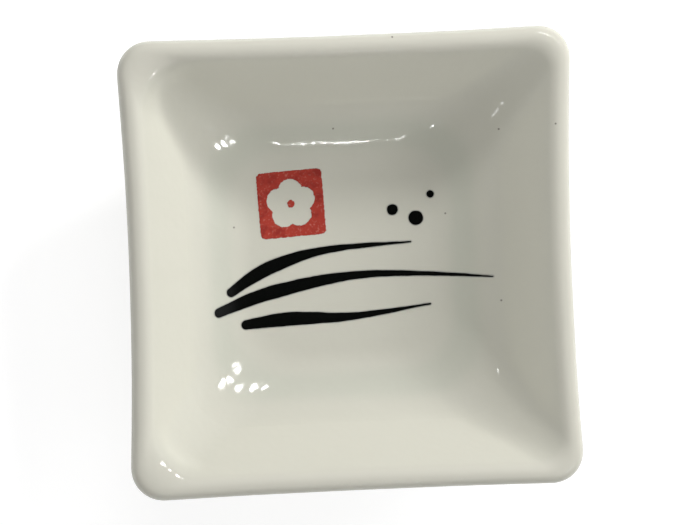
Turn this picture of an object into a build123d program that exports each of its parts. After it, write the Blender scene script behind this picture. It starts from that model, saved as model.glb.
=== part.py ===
# Square porcelain soy sauce dish: fired clay body, glaze, and brushwork fired into the glaze.
# Millimetres, +Z up. The origin is on the table, under the middle of the foot ring.
import os

from build123d import *

# Overall size of the glazed dish
rim_width = 92.0  # across the lip, between the points where its sides would meet
dish_height = 24.0  # table to the top of the lip
side_bow_x = 1.5  # how far the left and right sides draw in at mid-length
side_bow_y = 0.5  # how far the front and back sides draw in at mid-length
rim_corner = 7.0  # plan radius of the outer corners

# Inside of the dish
floor_height = 7.0  # table to the glazed floor
floor_width = 51.0  # across the floor, where the walls would meet it without a bend
floor_corner = 15.0  # plan radius of the floor's corners
floor_bend = 16.0  # radius of the soft bend between the floor and the walls
wall_hollow = 0.4  # how far the inner walls curve outwards at mid-height
mouth_corner = 4.5  # plan radius of the corners at the top of the inner walls

# Lip and outer wall
lip_width = 4.2  # across the top of the wall
lip_round = 2.0  # rounding of both edges of the lip
lip_round_share = 0.48  # most of the lip's width that one rounding may take
shoulder_drop = 4.0  # top of the lip down to where the outer wall turns up to it
shoulder_tuck = 1.2  # how far that turn lies inside the lip
shoulder_round = 4.0  # rounding of that turn
wall_width = 5.75  # level distance through the wall at the hip
hip_rise = 2.0  # top of the foot ring up to the hip, where the underside turns into the wall
hip_round = 10.0  # rounding of the hip

# Foot ring
foot_width = 49.0  # across the ring where it meets the wall
foot_corner = 8.0  # plan radius of the ring's corners
foot_height = 3.2  # table to the start of the outer wall
foot_draft = 0.6  # how far each side of the ring leans between the wall and the table
foot_ring = 3.6  # thickness of the ring on the table
foot_edge = 0.5  # rounding of the ring's two edges on the table
foot_bend = 1.8  # rounding between the ring and the outer wall
recess_depth = 2.4  # depth of the hollow inside the ring
recess_bend = 1.0  # rounding at the top of that hollow

# Glaze
glaze_thickness = 0.35
glaze_line = 1.4  # the ring is bare clay below this height

# Brush strokes: their places at the root, belly, middle and tip, and the half widths there
colour_depth = 0.2  # how far the colours sink into the glaze
stroke_half_widths = (0.95, 1.35, 0.75, 0.16)
long_blade_line = ((-25.0, -9.5), (-13.0, -5.8), (5.0, -3.2), (29.5, -4.4))
upper_blade_line = ((-22.3, -5.6), (-14.5, -1.2), (-3.0, 1.9), (14.0, 2.9))
lower_blade_line = ((-19.5, -12.2), (-10.5, -11.4), (2.0, -11.4), (17.5, -9.6))

# Brush dabs: the place and radius of each
dabs = (((10.6, 9.4), 1.1), ((15.2, 7.6), 1.45), ((18.2, 12.2), 0.75))

# Stamp with an open five-petalled flower
stamp_place = (-9.6, 11.4)
stamp_tilt = 3.0  # degrees, as a hand sets a stamp down
stamp_size = 13.2
stamp_corner = 0.9
stamp_border = 1.7  # least width of the red between the flower and the stamp's edge
petal_count = 5
petal_radius = 2.3
flower_eye = 0.8  # radius of the red dot at the flower's centre

# Reach of a cutting tool past the surface that it cuts
cut_margin = 1.0
# Half height of the thin slice in which the edges at one level are looked for
level_slice = 0.01


def part_way(start, end, share):
    return start + (end - start) * share


def inner_half(height):
    """Half width of the glazed hollow at a height, if its walls were straight."""
    mouth_half = rim_width / 2 - lip_width
    share = (height - floor_height) / (dish_height - floor_height)
    return part_way(floor_width / 2, mouth_half, share)


def outer_corner(height):
    """Plan radius of the outer wall's corners at a height."""
    share = (height - foot_height) / (dish_height - foot_height)
    return part_way(foot_corner, rim_corner, share)


def edges_at_level(shape, height):
    return shape.edges().filter_by_position(Axis.Z, height - level_slice, height + level_slice)


def dish_outline(height, half, corner):
    """Square with slightly drawn-in sides and round corners, lying at a height."""
    bow_x = side_bow_x * half / (rim_width / 2)
    bow_y = side_bow_y * half / (rim_width / 2)
    with BuildSketch(Plane.XY.offset(height)) as outline:
        with BuildLine():
            ThreePointArc((half, -half), (half - bow_x, 0), (half, half))
            ThreePointArc((half, half), (0, half - bow_y), (-half, half))
            ThreePointArc((-half, half), (-half + bow_x, 0), (-half, -half))
            ThreePointArc((-half, -half), (0, -half + bow_y), (half, -half))
        make_face()
        fillet(outline.vertices(), corner)
    return outline.sketch


def dish_hollow(growth):
    """Inside of the dish as a solid, grown by a distance beyond the glazed surface."""
    middle = (floor_height + dish_height) / 2
    middle_half = inner_half(middle) + wall_hollow + growth
    top = dish_height + cut_margin
    with BuildPart() as hollow:
        loft(
            sections=[
                dish_outline(floor_height - growth, floor_width / 2 + growth, floor_corner),
                dish_outline(middle, middle_half, (floor_corner + mouth_corner) / 2),
                dish_outline(top, inner_half(top) + growth, mouth_corner),
            ]
        )
        fillet(hollow.edges().group_by(Axis.Z)[0], floor_bend + growth)
    return hollow.part


def foot_recess(growth):
    """Hollow inside the foot ring as a solid, grown by a distance beyond its glazed surface."""
    half = foot_width / 2 - foot_draft - foot_ring + growth
    corner = foot_corner - foot_ring + growth
    with BuildPart() as recess:
        loft(
            sections=[
                dish_outline(0, half, corner),
                dish_outline(recess_depth + growth, half - foot_draft, corner),
            ]
        )
        fillet(recess.edges().group_by(Axis.Z)[-1], recess_bend + growth)
    return recess.part


def dish_form(inset):
    """Whole dish with every surface but the one on the table drawn in by a distance."""
    rim_top = dish_height - inset
    rim_half = rim_width / 2 - inset
    shoulder = dish_height - shoulder_drop
    hip = foot_height + hip_rise
    hip_half = inner_half(hip) + wall_width - inset
    foot_half = foot_width / 2 - inset
    lip_radius = min(lip_round, lip_width * lip_round_share) - inset
    with BuildPart() as form:
        loft(
            sections=[
                dish_outline(0, foot_half - foot_draft, foot_corner),
                dish_outline(foot_height, foot_half, foot_corner),
                dish_outline(hip, hip_half, outer_corner(hip)),
                dish_outline(shoulder, rim_half - shoulder_tuck, outer_corner(shoulder)),
                dish_outline(rim_top, rim_half, rim_corner),
            ],
            ruled=True,
        )
        fillet(edges_at_level(form, foot_height), foot_bend)
        fillet(edges_at_level(form, hip), hip_round)
        fillet(edges_at_level(form, shoulder), shoulder_round)
        add(dish_hollow(inset), mode=Mode.SUBTRACT)
        add(foot_recess(inset), mode=Mode.SUBTRACT)
        fillet(edges_at_level(form, rim_top), lip_radius)
        fillet(form.edges().group_by(Axis.Z)[0], foot_edge)
    return form.part


def stroke_outline(line):
    """Brush stroke: round at the root, widest at the belly and drawn out to a thin tip."""
    centres = [Vector(*place) for place in line]
    along = (centres[-1] - centres[0]).normalized()
    across = along.rotate(Axis.Z, 90)
    upper = [place + across * half for place, half in zip(centres, stroke_half_widths)]
    lower = [place - across * half for place, half in zip(centres, stroke_half_widths)]
    root_end = centres[0] - along * stroke_half_widths[0]
    with BuildSketch() as outline:
        with BuildLine():
            Spline(*upper)
            Line(upper[-1], lower[-1])
            Spline(*reversed(lower))
            ThreePointArc(lower[0], root_end, upper[0])
        make_face()
    return outline.sketch


def dab_outline():
    """Round brush dabs."""
    with BuildSketch() as outline:
        for place, radius in dabs:
            with Locations(place):
                Circle(radius)
    return outline.sketch


def stamp_outline():
    """Square stamp with a flower left open in it, and a dot at the flower's centre."""
    ground = Plane.XY.move(Location((*stamp_place, 0), (0, 0, stamp_tilt)))
    petal_ring = stamp_size / 2 - stamp_border - petal_radius
    with BuildSketch(ground) as outline:
        RectangleRounded(stamp_size, stamp_size, stamp_corner)
        Circle(petal_ring, mode=Mode.SUBTRACT)
        with PolarLocations(petal_ring, petal_count, start_angle=90):
            Circle(petal_radius, mode=Mode.SUBTRACT)
        Circle(flower_eye)
    return outline.sketch


os.makedirs("parts", exist_ok=True)

# Fired clay
with BuildPart() as clay_body:
    add(dish_form(glaze_thickness))
clay_body.part.label = "clay_body"
export_step(clay_body.part, "parts/clay_body.step")

# All of the glaze, before the colours go in: the outer coat and the patch inside the foot ring
with BuildPart() as all_glaze:
    add(dish_form(0))
    add(clay_body.part, mode=Mode.SUBTRACT)
    with Locations((0, 0, glaze_line)):
        Box(
            rim_width,
            rim_width,
            glaze_line + cut_margin,
            align=(Align.CENTER, Align.CENTER, Align.MAX),
            mode=Mode.SUBTRACT,
        )
glaze_patches = all_glaze.solids().sort_by(SortBy.VOLUME)

# Glaze inside the foot ring
with BuildPart() as base_glaze:
    add(glaze_patches[0])
base_glaze.part.label = "base_glaze"
export_step(base_glaze.part, "parts/base_glaze.step")

# Glaze over the inside, the lip and the outside
with BuildPart() as glaze_coat:
    add(glaze_patches[-1])

# Colours, each sunk into the top of the glaze and level with it
open_hollow = dish_hollow(0)
coloured_hollow = dish_hollow(colour_depth)
mark_outlines = {
    "ink_blade_long": stroke_outline(long_blade_line),
    "ink_blade_upper": stroke_outline(upper_blade_line),
    "ink_blade_lower": stroke_outline(lower_blade_line),
    "ink_dots": dab_outline(),
    "seal_stamp": stamp_outline(),
}
for name, outline in mark_outlines.items():
    with BuildPart() as mark:
        extrude(outline, amount=dish_height)
        add(coloured_hollow, mode=Mode.INTERSECT)
        add(open_hollow, mode=Mode.SUBTRACT)
    mark.part.label = name
    export_step(mark.part, f"parts/{name}.step")
    with glaze_coat:
        add(mark.part, mode=Mode.SUBTRACT)

glaze_coat.part.label = "glaze_coat"
export_step(glaze_coat.part, "parts/glaze_coat.step")
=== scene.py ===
import math

import bmesh
import bpy
from mathutils import Matrix, Vector, noise
from mathutils.bvhtree import BVHTree


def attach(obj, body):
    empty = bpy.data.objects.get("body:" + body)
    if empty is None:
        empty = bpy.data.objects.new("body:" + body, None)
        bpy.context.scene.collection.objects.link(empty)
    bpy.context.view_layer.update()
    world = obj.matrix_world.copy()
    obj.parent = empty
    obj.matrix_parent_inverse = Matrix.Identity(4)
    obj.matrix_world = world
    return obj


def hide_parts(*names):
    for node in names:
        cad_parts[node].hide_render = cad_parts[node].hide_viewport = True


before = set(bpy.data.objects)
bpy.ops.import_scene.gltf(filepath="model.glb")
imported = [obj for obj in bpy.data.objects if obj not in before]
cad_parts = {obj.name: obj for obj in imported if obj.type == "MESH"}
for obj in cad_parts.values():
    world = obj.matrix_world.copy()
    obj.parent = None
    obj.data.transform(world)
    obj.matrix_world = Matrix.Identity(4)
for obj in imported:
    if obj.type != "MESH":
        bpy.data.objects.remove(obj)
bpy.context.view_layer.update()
mm = 0.001  # the pieces are drawn in millimetres
plainWhite = (1.0, 1.0, 1.0, 1.0)
noiseSeed = 3
noise.seed_set(noiseSeed)  # without it, noise_vector changes from run to run
print("frame loaded:", len(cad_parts), "nodes")


# shader maths: a Signal is a socket that takes part in sums, a Finish is a material or the world
class Signal:
    def __init__(self, finish, socket):
        self.finish = finish
        self.socket = socket

    def calc(self, operation, first, second):
        return self.finish.node("ShaderNodeMath", {"operation": operation}, {0: first, 1: second})

    def __add__(self, other):
        return self.calc("ADD", self, other)

    def __radd__(self, other):
        return self.calc("ADD", other, self)

    def __sub__(self, other):
        return self.calc("SUBTRACT", self, other)

    def __rsub__(self, other):
        return self.calc("SUBTRACT", other, self)

    def __mul__(self, other):
        return self.calc("MULTIPLY", self, other)

    def __rmul__(self, other):
        return self.calc("MULTIPLY", other, self)

    def __lt__(self, other):
        return self.calc("LESS_THAN", self, other)

    def __gt__(self, other):
        return self.calc("GREATER_THAN", self, other)

    def most(self, other):
        return self.calc("MAXIMUM", self, other)


class Finish:
    def __init__(self, owner):
        self.owner = owner
        owner.use_nodes = True
        self.tree = owner.node_tree
        self.tree.nodes.clear()

    def node(self, kind, settings=None, sockets=None, output=0):
        made = self.tree.nodes.new(kind)
        for name, value in (settings or {}).items():
            setattr(made, name, value)
        for key, value in (sockets or {}).items():
            if isinstance(value, Signal):
                self.tree.links.new(value.socket, made.inputs[key])
            else:
                made.inputs[key].default_value = value
        return None if output is None else Signal(self, made.outputs[output])

    def place(self):
        return self.node("ShaderNodeTexCoord", output="Object")

    def attribute(self, name):
        return self.node("ShaderNodeAttribute", {"attribute_name": name}, output="Fac")

    def grain(self, place, scale, detail=2.0):  # scale in waves to the metre
        return self.node("ShaderNodeTexNoise", {}, {"Vector": place, "Scale": scale, "Detail": detail})

    def fade(self, value, low, high):  # 0 below low, 1 above high, soft between
        sockets = {"Value": value, "From Min": low, "From Max": high}
        return self.node("ShaderNodeMapRange", {"interpolation_type": "SMOOTHSTEP"}, sockets)

    def mix(self, share, first, second):
        return self.node("ShaderNodeMix", {"data_type": "RGBA"}, {0: share, 6: first, 7: second}, output=2)

    def bump(self, height, strength, distance):
        sockets = {"Height": height, "Strength": strength, "Distance": distance}
        return self.node("ShaderNodeBump", {}, sockets)

    def surface(self, **sockets):  # ends the material in one Principled shader
        named = {key.replace("_", " "): value for key, value in sockets.items()}
        shader = self.node("ShaderNodeBsdfPrincipled", {}, named)
        self.close(shader)

    def close(self, shader, kind="ShaderNodeOutputMaterial"):
        self.node(kind, {}, {"Surface": shader}, output=None)


def newFinish(name):
    return Finish(bpy.data.materials.new(name))


# glaze: ivory glass over pale clay, with firing specks; scales are waves or cells to the metre
glazeLook = {
    "body": (0.745, 0.735, 0.640, 1.0),
    "pooled": (0.690, 0.695, 0.600, 1.0),  # where it gathers in the bends
    "pooledFrom": (0.1, 1.0),  # pooling at which that tint starts and is full
    "thin": (0.770, 0.755, 0.660, 1.0),  # where it runs off the lip
    "thinFrom": (0.2, 1.0),
    "cloudScale": 45.0,  # slow drift of tint and gloss
    "cloudTint": 0.5,
    "speck": (0.10, 0.075, 0.05, 1.0),
    "speckScale": 95.0,
    "speckSize": (0.008, 0.026),  # its core and its soft edge, in cells
    "speckChance": 0.1,  # share of the cells that hold a speck
    "speckDepth": 0.7,
    "rippleScale": 420.0,
    "rippleStrength": 0.20,
    "rippleHeight": 0.0002,  # metres
    "roughness": 0.055,
    "roughnessDrift": 0.02,
    "refraction": 1.5,
}


def makeGlaze(look):
    glaze = newFinish("ivoryGlaze")
    place = glaze.place()
    cloud = glaze.grain(place, look["cloudScale"], detail=3.0)
    pool = glaze.attribute("pool")
    gathered = glaze.fade(pool + (cloud - 0.5) * look["cloudTint"], *look["pooledFrom"])
    tint = glaze.mix(gathered, look["body"], look["pooled"])
    tint = glaze.mix(glaze.fade(0.0 - pool, *look["thinFrom"]), tint, look["thin"])
    # a few cells of a loose honeycomb hold one dark speck each
    cells = {"Vector": place, "Scale": look["speckScale"]}
    plan = {"voronoi_dimensions": "2D"}
    spot = glaze.node("ShaderNodeTexVoronoi", plan, cells, output="Distance")
    chance = glaze.node("ShaderNodeTexVoronoi", plan, cells, output="Color")
    pick = glaze.node("ShaderNodeSeparateColor", {}, {"Color": chance})
    speck = (1.0 - glaze.fade(spot, *look["speckSize"])) * (pick > 1.0 - look["speckChance"])
    tint = glaze.mix(speck * look["speckDepth"], tint, look["speck"])
    ripple = glaze.grain(place, look["rippleScale"], detail=1.0)
    glaze.surface(
        Base_Color=tint,
        Roughness=look["roughness"] + cloud * look["roughnessDrift"],
        IOR=look["refraction"],
        Normal=glaze.bump(ripple, look["rippleStrength"], look["rippleHeight"]),
    )
    return glaze


# black brush colour: solid inside, with a feathered bluish rim where it bled into the glaze
inkLook = {
    "deep": (0.004, 0.0045, 0.004, 1.0),
    "bled": (0.12, 0.14, 0.16, 1.0),
    "bleed": 0.30,  # millimetres that the colour bled into the glaze
    "bledCover": 0.28,
    "edgeSoft": 0.05,  # millimetres to both sides of the edge
    "edgeScale": 900.0,
    "edgeRough": 0.14,  # millimetres
    "roughness": 0.09,
    "roughnessScale": 300.0,
    "roughnessDrift": 0.05,
}


def makeInk(look):
    ink = newFinish("brushBlack")
    place = ink.place()
    edge = ink.attribute("edge") + (ink.grain(place, look["edgeScale"]) - 0.5) * look["edgeRough"]
    solid = 1.0 - ink.fade(edge, -look["edgeSoft"], look["edgeSoft"])
    halo = (1.0 - ink.fade(ink.attribute("edge"), 0.0, look["bleed"])) * look["bledCover"]
    ink.surface(
        Base_Color=ink.mix(solid, look["bled"], look["deep"]),
        Roughness=look["roughness"] + ink.grain(place, look["roughnessScale"]) * look["roughnessDrift"],
        Alpha=solid.most(halo),
    )
    return ink


# red stamp colour: grainy, thin in places, with a worn edge
stampLook = {
    "full": (0.50, 0.062, 0.045, 1.0),
    "thin": (0.62, 0.20, 0.15, 1.0),
    "dark": (0.30, 0.035, 0.028, 1.0),
    "fineScale": 2200.0,
    "broadScale": 420.0,
    "thinFrom": (0.52, 0.8),  # fine grain at which the thin tone starts and is full
    "darkFrom": (0.45, 0.7),  # broad grain at which the dark tone starts and is full
    "darkCover": 0.7,
    "wornFrom": (0.72, 1.0),  # nearness to the edge at which the colour starts to go and is gone
    "wornGrain": 0.9,
    "roughness": 0.10,
    "roughnessDrift": 0.05,
}


def makeStampRed(look):
    red = newFinish("stampRed")
    place = red.place()
    fine = red.grain(place, look["fineScale"], detail=3.0)
    broad = red.grain(place, look["broadScale"])
    tone = red.mix(red.fade(fine, *look["thinFrom"]), look["full"], look["thin"])
    tone = red.mix(red.fade(broad, *look["darkFrom"]) * look["darkCover"], tone, look["dark"])
    worn = red.fade(red.attribute("edge") + (fine - 0.5) * look["wornGrain"], *look["wornFrom"])
    red.surface(
        Base_Color=tone,
        Roughness=look["roughness"] + fine * look["roughnessDrift"],
        Alpha=1.0 - worn,
    )
    return red


# bare fired clay of the foot: fine, matte, a little stained
clayLook = {
    "clean": (0.62, 0.58, 0.50, 1.0),
    "stained": (0.44, 0.38, 0.29, 1.0),
    "grit": (0.30, 0.24, 0.17, 1.0),
    "fineScale": 3200.0,
    "broadScale": 160.0,
    "stainFrom": (0.42, 0.7),  # broad grain at which the stain starts and is full
    "gritFrom": (0.66, 0.72),  # fine grain at which the grit starts and is full
    "gritCover": 0.6,
    "grainStrength": 0.35,
    "grainHeight": 0.0001,  # metres
    "roughness": 0.78,
    "roughnessDrift": 0.15,
}


def makeClay(look):
    clay = newFinish("bareClay")
    place = clay.place()
    fine = clay.grain(place, look["fineScale"], detail=3.0)
    broad = clay.grain(place, look["broadScale"], detail=3.0)
    tone = clay.mix(clay.fade(broad, *look["stainFrom"]), look["clean"], look["stained"])
    tone = clay.mix(clay.fade(fine, *look["gritFrom"]) * look["gritCover"], tone, look["grit"])
    clay.surface(
        Base_Color=tone,
        Roughness=look["roughness"] + fine * look["roughnessDrift"],
        Normal=clay.bump(fine, look["grainStrength"], look["grainHeight"]),
    )
    return clay


glaze = makeGlaze(glazeLook)
ink = makeInk(inkLook)
stampRed = makeStampRed(stampLook)
clay = makeClay(clayLook)
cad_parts["clay_body"].data.materials.clear()
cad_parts["clay_body"].data.materials.append(clay.owner)
print("finishes: glaze, ink, stamp red, clay")


def addPiece(name, bm, finish, slot, *nodes):
    mesh = bpy.data.meshes.new(name)
    bm.to_mesh(mesh)
    bm.free()
    mesh.shade_smooth()
    mesh.materials.append(finish.owner)
    piece = bpy.data.objects.new(name, mesh)
    bpy.context.scene.collection.objects.link(piece)
    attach(piece, "root")
    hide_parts(*nodes)
    return piece


def addThickness(piece, depth):
    shell = piece.modifiers.new("thickness", "SOLIDIFY")
    shell.thickness = depth
    shell.offset = -1.0
    shell.use_rim = True


def turnFacesTo(bm, up):  # the middle face shows which way the sheet looks
    bm.normal_update()
    middle = min(bm.faces, key=lambda face: face.calc_center_median().xy.length)
    if middle.normal.z * up < 0.0:
        bmesh.ops.reverse_faces(bm, faces=bm.faces[:])


def squareRing(bm, half, corner, cornerSteps, sideSteps):  # a closed square line with round corners
    bmesh.ops.create_grid(bm, x_segments=1, y_segments=1, size=half)
    bmesh.ops.bevel(
        bm, geom=bm.verts[:], offset=corner, offset_type="OFFSET",
        segments=cornerSteps, profile=0.5, affect="VERTICES", material=-1,
    )
    sides = [edge for edge in bm.edges if edge.calc_length() > half]
    bmesh.ops.subdivide_edges(bm, edges=sides, cuts=sideSteps - 1)
    bmesh.ops.delete(bm, geom=bm.faces[:], context="FACES_ONLY")


def extrudeRing(bm, edges):  # gives the points and the edges of the new line
    grown = bmesh.ops.extrude_edge_only(bm, edges=edges)["geom"]
    verts = [part for part in grown if isinstance(part, bmesh.types.BMVert)]
    lines = [part for part in grown if isinstance(part, bmesh.types.BMEdge) and part.is_boundary]
    return verts, lines


# the dish in millimetres: each corner of its profile is half width, plan radius, height,
# then the rounding of that corner and the steps in it
dish = {
    "rimHalf": 46.0,
    "insideFrom": 45.0,  # half width at which the profile has come to the lip
    "bowX": 1.5,  # how far the left and right sides draw in
    "bowY": 0.5,  # how far the front and back sides draw in
    "coat": 0.35,
    "step": 1.5,  # longest step along the profile
    "ringRound": 0.3,  # plan radius of the pattern ring, whose half width is 1
    "ringSteps": 12,  # faces round one corner
    "sideSteps": 18,  # faces along one side
    "wander": 0.07,  # unevenness of the hand-finished surface
    "wanderScale": 70.0,  # its waves to the metre
    "softLip": {  # growth of the plan radius at the left corners, round one spot of the profile
        "growth": 4.5, "half": 40.5, "height": 22.5, "reach": 2.8,
    },
    "pooling": {  # middle and reach: heights at the lip and the foot, half widths at the bend
        "lip": (24.0, 0.9), "bend": (25.0, 3.2), "foot": (3.6, 0.8),
    },
    "profile": (
        ((23.90, 8.0, 1.40), 0.0, 0),
        ((24.16, 8.0, 1.40), 0.12, 3),
        ((24.50, 8.0, 3.20), 1.8, 6),
        ((29.52, 7.86, 5.20), 10.0, 6),
        ((44.80, 6.79, 20.0), 4.0, 6),
        ((46.00, 7.00, 24.0), 2.0, 9),
        ((41.80, 5.30, 24.0), 2.9, 7),
        ((34.05, 9.75, 15.5), 100.0, 4),
        ((26.45, 14.4, 7.95), 22.0, 16),
        ((12.00, 6.50, 7.06), 150.0, 4),
        ((2.00, 1.00, 6.80), 0.0, 0),
    ),
    "recess": (
        ((20.10, 4.4, 1.40), 0.0, 0),
        ((19.95, 4.4, 1.40), 0.08, 3),
        ((19.70, 4.4, 2.40), 1.0, 6),
        ((1.50, 0.6, 2.40), 0.0, 0),
    ),
}


def softProfile(corners, step):
    # the plan radius rides along, too small to turn the line
    flat = [Vector((half, plan * mm, height)) for (half, plan, height), rounding, steps in corners]
    bm = bmesh.new()
    spots = [bm.verts.new(spot) for spot in flat]
    for first, second in zip(spots, spots[1:]):
        bm.edges.new((first, second))
    for index in range(1, len(corners) - 1):
        before, here, after = flat[index - 1:index + 2]
        rounding, steps = corners[index][1:]
        if not rounding:
            continue
        reach = rounding * math.tan((here - before).angle(after - here) / 2)
        spot = min(bm.verts, key=lambda vert: (vert.co - here).length)
        bmesh.ops.bevel(
            bm, geom=[spot], offset=reach, offset_type="OFFSET",
            segments=steps, profile=0.5, affect="VERTICES", material=-1,
        )
    for edge in bm.edges[:]:
        cuts = int(edge.calc_length() / step)
        if cuts:
            bmesh.ops.subdivide_edges(bm, edges=[edge], cuts=cuts)
    ends = [vert for vert in bm.verts if len(vert.link_edges) == 1]
    here = min(ends, key=lambda vert: (vert.co - flat[0]).length)
    used, stations = None, []
    while here:
        stations.append(Vector((here.co.x, here.co.y / mm, here.co.z)))
        onward = [edge for edge in here.link_edges if edge is not used]
        used = onward[0] if onward else None
        here = used.other_vert(here) if used else None
    bm.free()
    return stations


def hump(value, middle, reach):  # 1 at the middle, next to nothing at twice the reach
    return math.exp(-((value - middle) / reach) ** 2)


def onOutline(ring, station):  # spot on the bowed square at one station of the profile
    half, corner, height = station
    if ring.x < 0.0:
        soft = dish["softLip"]
        off = math.hypot(half - soft["half"], height - soft["height"])
        corner += soft["growth"] * hump(off, 0.0, soft["reach"])
    flat = 1.0 - dish["ringRound"]
    inner = Vector((min(max(ring.x, -flat), flat), min(max(ring.y, -flat), flat), 0.0))
    spot = inner * ((half - corner) / flat) + (ring - inner) * (corner / dish["ringRound"])
    shareX, shareY = spot.x / half, spot.y / half
    spot.x -= dish["bowX"] * half / dish["rimHalf"] * shareX * (1.0 - shareY ** 2)
    spot.y -= dish["bowY"] * half / dish["rimHalf"] * shareY * (1.0 - shareX ** 2)
    spot.z = height
    return spot * mm


def glazePool(station, inside):  # above 0 where the glaze gathers, below 0 where it thins
    pooling = dish["pooling"]
    gathers = hump(station.x, *pooling["bend"]) if inside else hump(station.z, *pooling["foot"])
    return gathers - hump(station.z, *pooling["lip"])


def sweepRing(corners):  # takes the pattern ring along the profile and closes it at the middle
    stations = softProfile(corners, dish["step"])
    bm = bmesh.new()
    pattern = bm.verts.layers.float_vector.new("ring")
    pool = bm.verts.layers.float.new("pool")
    squareRing(bm, 1.0, dish["ringRound"], dish["ringSteps"], dish["sideSteps"])
    for vert in bm.verts:
        vert[pattern] = vert.co
    edges, verts, widest = bm.edges[:], bm.verts[:], 0.0
    for index, station in enumerate(stations):
        if index:
            verts, edges = extrudeRing(bm, edges)
        widest = max(widest, station.x)
        inside = widest > dish["insideFrom"] and station.x < widest
        for vert in verts:
            vert.co = onOutline(vert[pattern], station)
            vert[pool] = glazePool(station, inside)
    bmesh.ops.pointmerge(bm, verts=verts, merge_co=Vector((0.0, 0.0, stations[-1].z * mm)))
    bmesh.ops.recalc_face_normals(bm, faces=bm.faces[:])
    for vert in bm.verts:
        vert.co += noise.noise_vector(vert.co * dish["wanderScale"]) * dish["wander"] * mm
    return bm


def makeDishGlaze():
    bm = sweepRing(dish["profile"])
    turnFacesTo(bm, 1.0)
    coat = addPiece("dishGlaze", bm, glaze, "glaze", "glaze_coat")
    smooth = coat.modifiers.new("smooth", "SUBSURF")
    smooth.levels = smooth.render_levels = 1
    addThickness(coat, dish["coat"] * mm)
    return coat


def makeFootGlaze():
    bm = sweepRing(dish["recess"])
    turnFacesTo(bm, -1.0)
    patch = addPiece("footGlaze", bm, glaze, "glaze", "base_glaze")
    addThickness(patch, dish["coat"] * mm)


coat = makeDishGlaze()
makeFootGlaze()
bpy.context.view_layer.update()
glazeTop = BVHTree.FromObject(coat, bpy.context.evaluated_depsgraph_get())
print("glaze:", len(coat.data.polygons), "faces before smoothing")


# brushwork and stamp in millimetres: how far they stand over the glaze, and their thickness
marks = {
    "lift": 0.025,
    "depth": 0.12,
    "dropFrom": 100.0,  # height that they are let down from
}


def addMark(name, bm, finish, slot, node):  # lets flat work down on to the glaze
    down = Vector((0.0, 0.0, -1.0))
    for vert in bm.verts:
        above = Vector((vert.co.x * mm, vert.co.y * mm, marks["dropFrom"] * mm))
        vert.co = glazeTop.ray_cast(above, down)[0]
        vert.co.z += marks["lift"] * mm
    bmesh.ops.recalc_face_normals(bm, faces=bm.faces[:])
    turnFacesTo(bm, 1.0)
    addThickness(addPiece(name, bm, finish, slot, node), marks["depth"] * mm)


def alongLine(knots, share):  # smooth line through the knots
    span = share * (len(knots) - 1)
    index = min(int(span), len(knots) - 2)
    t = span - index
    a, b, c, d = (knots[min(max(index + shift, 0), len(knots) - 1)] for shift in (-1, 0, 1, 2))
    curve = (2 * a - 5 * b + 4 * c - d) * t ** 2
    twist = (3 * b - a - 3 * c + d) * t ** 3
    return 0.5 * (2 * b + (c - a) * t + curve + twist)


# brush strokes in millimetres: root, belly, middle and tip, and half the width there
strokes = {
    "halfWidths": (0.95, 1.35, 0.75, 0.16),
    "bladeLong": ((-25.0, -9.5), (-13.0, -5.8), (5.0, -3.2), (29.5, -4.4)),
    "bladeUpper": ((-22.3, -5.6), (-14.5, -1.2), (-3.0, 1.9), (14.0, 2.9)),
    "bladeLower": ((-19.5, -12.2), (-10.5, -11.4), (2.0, -11.4), (17.5, -9.6)),
    "nodes": {
        "bladeLong": "ink_blade_long",
        "bladeUpper": "ink_blade_upper",
        "bladeLower": "ink_blade_lower",
    },
    "steps": 150,
    "across": 12,
    "leastEnd": 0.02,  # share of the width that is left at the very ends
    "glance": 0.01,  # share of the stroke, to both sides, that gives its direction
    "tremble": 0.07,  # unsteadiness of the hand
    "trembleScale": 0.35,  # its waves to the millimetre
}


def brushStroke(name):
    knots = [Vector((x, y, 0.0)) for x, y in strokes[name]]
    length = (knots[-1] - knots[0]).length
    halfWidths, glance, bleed = strokes["halfWidths"], strokes["glance"], inkLook["bleed"]
    rootCap, tipCap = halfWidths[0] + bleed, halfWidths[-1] + bleed
    bm = bmesh.new()
    edge = bm.verts.layers.float.new("edge")
    bmesh.ops.create_grid(bm, x_segments=strokes["steps"], y_segments=strokes["across"], size=0.5)
    for vert in bm.verts:
        lane = vert.co.y * 2.0  # from -1 at one edge to 1 at the other
        share = 0.5 - 0.5 * math.cos((vert.co.x + 0.5) * math.pi)  # closer steps at both ends
        gone = share * (rootCap + length + tipCap) - rootCap
        over = min(gone, 0.0) + max(gone - length, 0.0)  # past the first or the last knot
        reach = (gone - over) / length
        here = alongLine(knots, reach)
        ahead = alongLine(knots, min(reach + glance, 1.0)) - alongLine(knots, max(reach - glance, 0.0))
        ahead.normalize()
        half = alongLine(halfWidths, reach)
        ending = min(max(-over / rootCap, over / tipCap, 0.0), 1.0)
        side = lane * math.sqrt(max(1.0 - ending ** 2, strokes["leastEnd"] ** 2))
        sway = noise.noise(here * strokes["trembleScale"] + Vector((0.0, 0.0, lane))) * strokes["tremble"]
        across = Vector((-ahead.y, ahead.x, 0.0))
        vert.co = here + ahead * over + across * (side * (half + bleed) + sway)
        vert[edge] = math.hypot(ending, side) * (half + bleed) - half
    addMark(name, bm, ink, "ink", strokes["nodes"][name])


for name in strokes["nodes"]:
    brushStroke(name)
print("brush strokes:", len(strokes["nodes"]))


def growRings(bm, edges, shares, shape):  # extrudes a closed line from ring to ring
    edge = bm.verts.layers.float["edge"]
    verts = list({vert for line in edges for vert in line.verts})
    for index, share in enumerate(shares):
        if index:
            verts, edges = extrudeRing(bm, edges)
        for vert in verts:
            vert.co, vert[edge] = shape(vert, share)
    return verts


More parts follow.
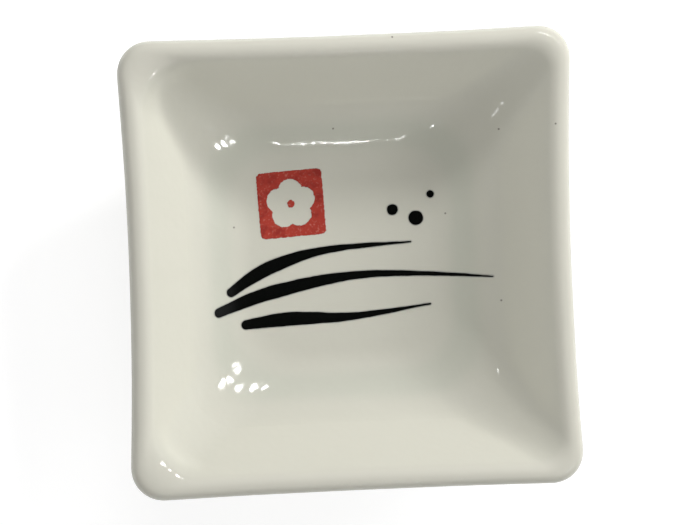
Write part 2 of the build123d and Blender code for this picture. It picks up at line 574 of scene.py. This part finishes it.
# round dabs in millimetres: place and radius
dabs = {
    "spots": (((10.6, 9.4), 1.10), ((15.2, 7.6), 1.45), ((18.2, 12.2), 0.75)),
    "rings": (1.0, 0.9, 0.8, 0.7, 0.5, 0.2),
    "segments": 48,
    "uneven": 0.05,
    "unevenScale": 1.2,  # waves to the radius
}


def makeDabs():
    bm = bmesh.new()
    bm.verts.layers.float.new("edge")
    angle = bm.verts.layers.float_vector.new("angle")
    for (x, y), radius in dabs["spots"]:
        middle = Vector((x, y, 0.0))
        ring = bmesh.ops.create_circle(bm, cap_ends=False, segments=dabs["segments"], radius=1.0)["verts"]
        for vert in ring:
            vert[angle] = vert.co

        def dabShape(vert, share):
            swell = 1.0 + dabs["uneven"] * noise.noise(vert[angle] * dabs["unevenScale"] + middle)
            reach = (radius + inkLook["bleed"]) * share
            return middle + vert[angle] * (reach * swell), reach - radius

        lines = [line for line in bm.edges if line.verts[0] in ring]
        inner = growRings(bm, lines, dabs["rings"], dabShape)
        bmesh.ops.pointmerge(bm, verts=inner, merge_co=middle)
    addMark("inkDabs", bm, ink, "ink", "ink_dots")


makeDabs()
print("dabs:", len(dabs["spots"]))


# stamp in millimetres: a rounded square with an open five-petalled flower and its eye
stamp = {
    "place": (-9.6, 11.4),
    "tilt": 3.0,
    "half": 6.6,
    "corner": 0.9,
    "cornerSteps": 6,
    "sideSteps": 40,
    "petals": 5,
    "petalRadius": 2.3,
    "petalRing": 2.6,
    "rings": (0.0, 0.06, 0.16, 0.5, 0.8, 0.92, 1.0),  # shares of the way from the rim to the flower
    "wornRim": 0.14,  # share of that way that wears at the rim
    "wornFlower": 0.18,  # and at the flower
    "eye": 0.8,
    "eyeSegments": 32,
    "eyeRings": (1.0, 0.8, 0.4),
    "eyeCore": 0.4,  # share of the eye that does not wear
    "uneven": 0.09,
    "unevenScale": 1.3,  # waves to the millimetre
    "eyeUnevenScale": 2.0,
}


def petalReach(bearing):  # how far the flower reaches in one direction
    sector = 2.0 * math.pi / stamp["petals"]
    off = (bearing - math.pi / 2 + sector / 2) % sector - sector / 2
    ring, radius = stamp["petalRing"], stamp["petalRadius"]
    return ring * math.cos(off) + math.sqrt(radius ** 2 - (ring * math.sin(off)) ** 2)


def makeStamp():
    bm = bmesh.new()
    bm.verts.layers.float.new("edge")
    start = bm.verts.layers.float_vector.new("start")
    turn = Matrix.Rotation(math.radians(stamp["tilt"]), 3, "Z")
    middle = Vector((*stamp["place"], 0.0))
    squareRing(bm, stamp["half"], stamp["corner"], stamp["cornerSteps"], stamp["sideSteps"])
    for vert in bm.verts:
        vert[start] = vert.co

    def groundShape(vert, share):
        spot = vert[start]
        flower = spot.normalized() * petalReach(math.atan2(spot.y, spot.x))
        flat = spot.lerp(flower, share)
        flat += noise.noise_vector(flat * stamp["unevenScale"]) * stamp["uneven"]
        worn = max(1.0 - share / stamp["wornRim"], 1.0 - (1.0 - share) / stamp["wornFlower"], 0.0)
        return middle + turn @ Vector((flat.x, flat.y, 0.0)), worn

    growRings(bm, bm.edges[:], stamp["rings"], groundShape)
    circle = {"cap_ends": False, "segments": stamp["eyeSegments"], "radius": stamp["eye"]}
    eye = bmesh.ops.create_circle(bm, **circle)["verts"]
    for vert in eye:
        vert[start] = vert.co

    def eyeShape(vert, share):
        swell = 1.0 + stamp["uneven"] * noise.noise(vert[start] * stamp["eyeUnevenScale"])
        worn = max((share - stamp["eyeCore"]) / (1.0 - stamp["eyeCore"]), 0.0)
        return middle + vert[start] * (share * swell), worn

    lines = [line for line in bm.edges if line.verts[0] in eye]
    inner = growRings(bm, lines, stamp["eyeRings"], eyeShape)
    bmesh.ops.pointmerge(bm, verts=inner, merge_co=middle)
    addMark("flowerStamp", bm, stampRed, "stamp_red", "seal_stamp")


makeStamp()
print("stamp:", stamp["petals"], "petals")


# pale floor: white to the camera and in reflections, with a soft shadow
studio = {
    "floorHalf": 3.0,
    "floor": (0.48, 0.48, 0.48, 1.0),
    "white": 0.78,  # plain white that lifts the floor's look
    "gap": 0.05,  # millimetres that the floor lies under the foot
}


def makeFloor():
    paper = newFinish("paleFloor")
    kinds = ("Is Camera Ray", "Is Glossy Ray", "Is Transmission Ray")
    camera, glossy, through = (paper.node("ShaderNodeLightPath", output=kind) for kind in kinds)
    seen = camera.most(glossy).most(through)
    matte = paper.node("ShaderNodeBsdfDiffuse", {}, {"Color": studio["floor"]})
    sockets = {"Color": plainWhite, "Strength": seen * studio["white"]}
    plain = paper.node("ShaderNodeEmission", {}, sockets)
    paper.close(paper.node("ShaderNodeAddShader", {}, {0: matte, 1: plain}))
    bm = bmesh.new()
    bmesh.ops.create_grid(bm, x_segments=1, y_segments=1, size=studio["floorHalf"])
    bmesh.ops.translate(bm, verts=bm.verts[:], vec=Vector((0.0, 0.0, -studio["gap"] * mm)))
    mesh = bpy.data.meshes.new("floor")
    bm.to_mesh(mesh)
    bm.free()
    mesh.materials.append(paper.owner)
    floor = bpy.data.objects.new("floor", mesh)
    bpy.context.scene.collection.objects.link(floor)


# room light: soft windows round the table, by bearing (0 is +X, 90 is +Y), rise and strength
room = {
    "spread": 30.0,  # degrees from the middle of a window to its edge
    "mirrored": 0.15,  # how much of it the glaze mirrors
    "windows": (
        (0.0, 26.0, 1.9), (90.0, 50.0, 1.8), (180.0, 8.0, 2.8), (270.0, 26.0, 1.75),
    ),
}
# lamps: bearing, rise, width and height in metres, watts; the panes alone make glints
lamps = {
    "distance": 0.9,
    "aim": (0.0, 0.0, 0.012),
    "soft": (
        (64.0, 25.0, 0.12, 0.12, 3.9),
        (16.0, 26.0, 0.25, 0.25, 2.0),
        (-50.0, 46.0, 0.40, 0.40, 0.5),
    ),
    "panes": (
        # glints at the front left corner
        (26.0, 54.0, 0.028, 0.024, 0.27), (29.0, 50.0, 0.036, 0.022, 0.32),
        (27.0, 46.0, 0.030, 0.022, 0.27), (42.0, 51.0, 0.042, 0.018, 0.30),
        (53.0, 53.0, 0.046, 0.022, 0.40), (63.0, 53.0, 0.042, 0.024, 0.40),
        # at the back left corner
        (-44.0, 45.0, 0.032, 0.026, 0.41), (-37.0, 43.0, 0.024, 0.022, 0.26),
        (-50.0, 46.0, 0.018, 0.018, 0.16), (-45.0, 36.0, 0.012, 0.012, 0.06),
        (-44.0, 31.0, 0.010, 0.010, 0.04),
        # along the back, then at the right
        (-79.0, 49.0, 0.014, 0.014, 0.05), (-97.0, 48.0, 0.018, 0.018, 0.06),
        (-141.0, 33.0, 0.060, 0.016, 0.022), (166.0, 39.0, 0.024, 0.024, 0.06),
    ),
}


def toSky(bearing, rise):
    bearing, rise = math.radians(bearing), math.radians(rise)
    level = math.cos(rise)
    return Vector((math.cos(bearing) * level, math.sin(bearing) * level, math.sin(rise)))


def makeRoom():
    world = bpy.data.worlds.new("room")
    sky = Finish(world)
    towards = sky.node("ShaderNodeTexCoord", output="Generated")
    level = 0.0
    for bearing, rise, strength in room["windows"]:
        sockets = {0: towards, 1: toSky(bearing, rise)}
        facing = sky.node("ShaderNodeVectorMath", {"operation": "DOT_PRODUCT"}, sockets, output="Value")
        level = level + sky.fade(facing, math.cos(math.radians(room["spread"])), 1.0) * strength
    mirrored = sky.node("ShaderNodeLightPath", output="Is Glossy Ray")
    level = level * (1.0 - mirrored * (1.0 - room["mirrored"]))
    light = sky.node("ShaderNodeBackground", {}, {"Color": plainWhite, "Strength": level})
    sky.close(light, "ShaderNodeOutputWorld")
    bpy.context.scene.world = world


def makeLamps():
    for kind in ("soft", "panes"):
        for bearing, rise, wide, high, watts in lamps[kind]:
            light = bpy.data.lights.new(kind, "AREA")
            light.shape = "ELLIPSE"
            light.size, light.size_y = wide, high
            light.energy = watts
            lamp = bpy.data.objects.new(kind, light)
            lamp.visible_glossy = kind == "panes"
            lamp.visible_diffuse = kind == "soft"
            lamp.location = Vector(lamps["aim"]) + toSky(bearing, rise) * lamps["distance"]
            lamp.rotation_euler = toSky(bearing, rise).to_track_quat("Z", "Y").to_euler()
            bpy.context.scene.collection.objects.link(lamp)


# camera: nearly straight above, leaning a little to the left and to the back, rolled a little
view = {
    "sensor": 36.0,  # millimetres
    "distance": 2.0,
    "leanX": -7.3,
    "leanY": 3.2,
    "roll": -2.45,
    "acrossFrame": 0.1376,  # metres that the picture's width takes in at the lip
    "aim": (-0.0004, 0.0002, 0.024),
}


def makeCamera():
    camera = bpy.data.cameras.new("camera")
    camera.sensor_width = view["sensor"]
    camera.lens = view["sensor"] * view["distance"] / view["acrossFrame"]
    eye = bpy.data.objects.new("camera", camera)
    leanX, leanY, roll = (math.radians(view[key]) for key in ("leanX", "leanY", "roll"))
    away = Vector((math.tan(leanX), math.tan(leanY), 1.0)).normalized()
    eye.location = Vector(view["aim"]) + away * view["distance"]
    right = Vector((1.0, 0.0, 0.0)).cross(away).cross(away) * -1.0  # +X, turned square to the view
    right.normalize()
    look = Matrix((right, away.cross(right), away)).transposed() @ Matrix.Rotation(roll, 3, "Z")
    eye.rotation_euler = look.to_euler()
    bpy.context.scene.collection.objects.link(eye)
    bpy.context.scene.camera = eye


makeFloor()
makeRoom()
makeLamps()
makeCamera()
bpy.context.scene.view_settings.view_transform = "Standard"
print("studio: floor,", len(lamps["soft"]) + len(lamps["panes"]), "lamps, camera")

bpy.context.view_layer.update()
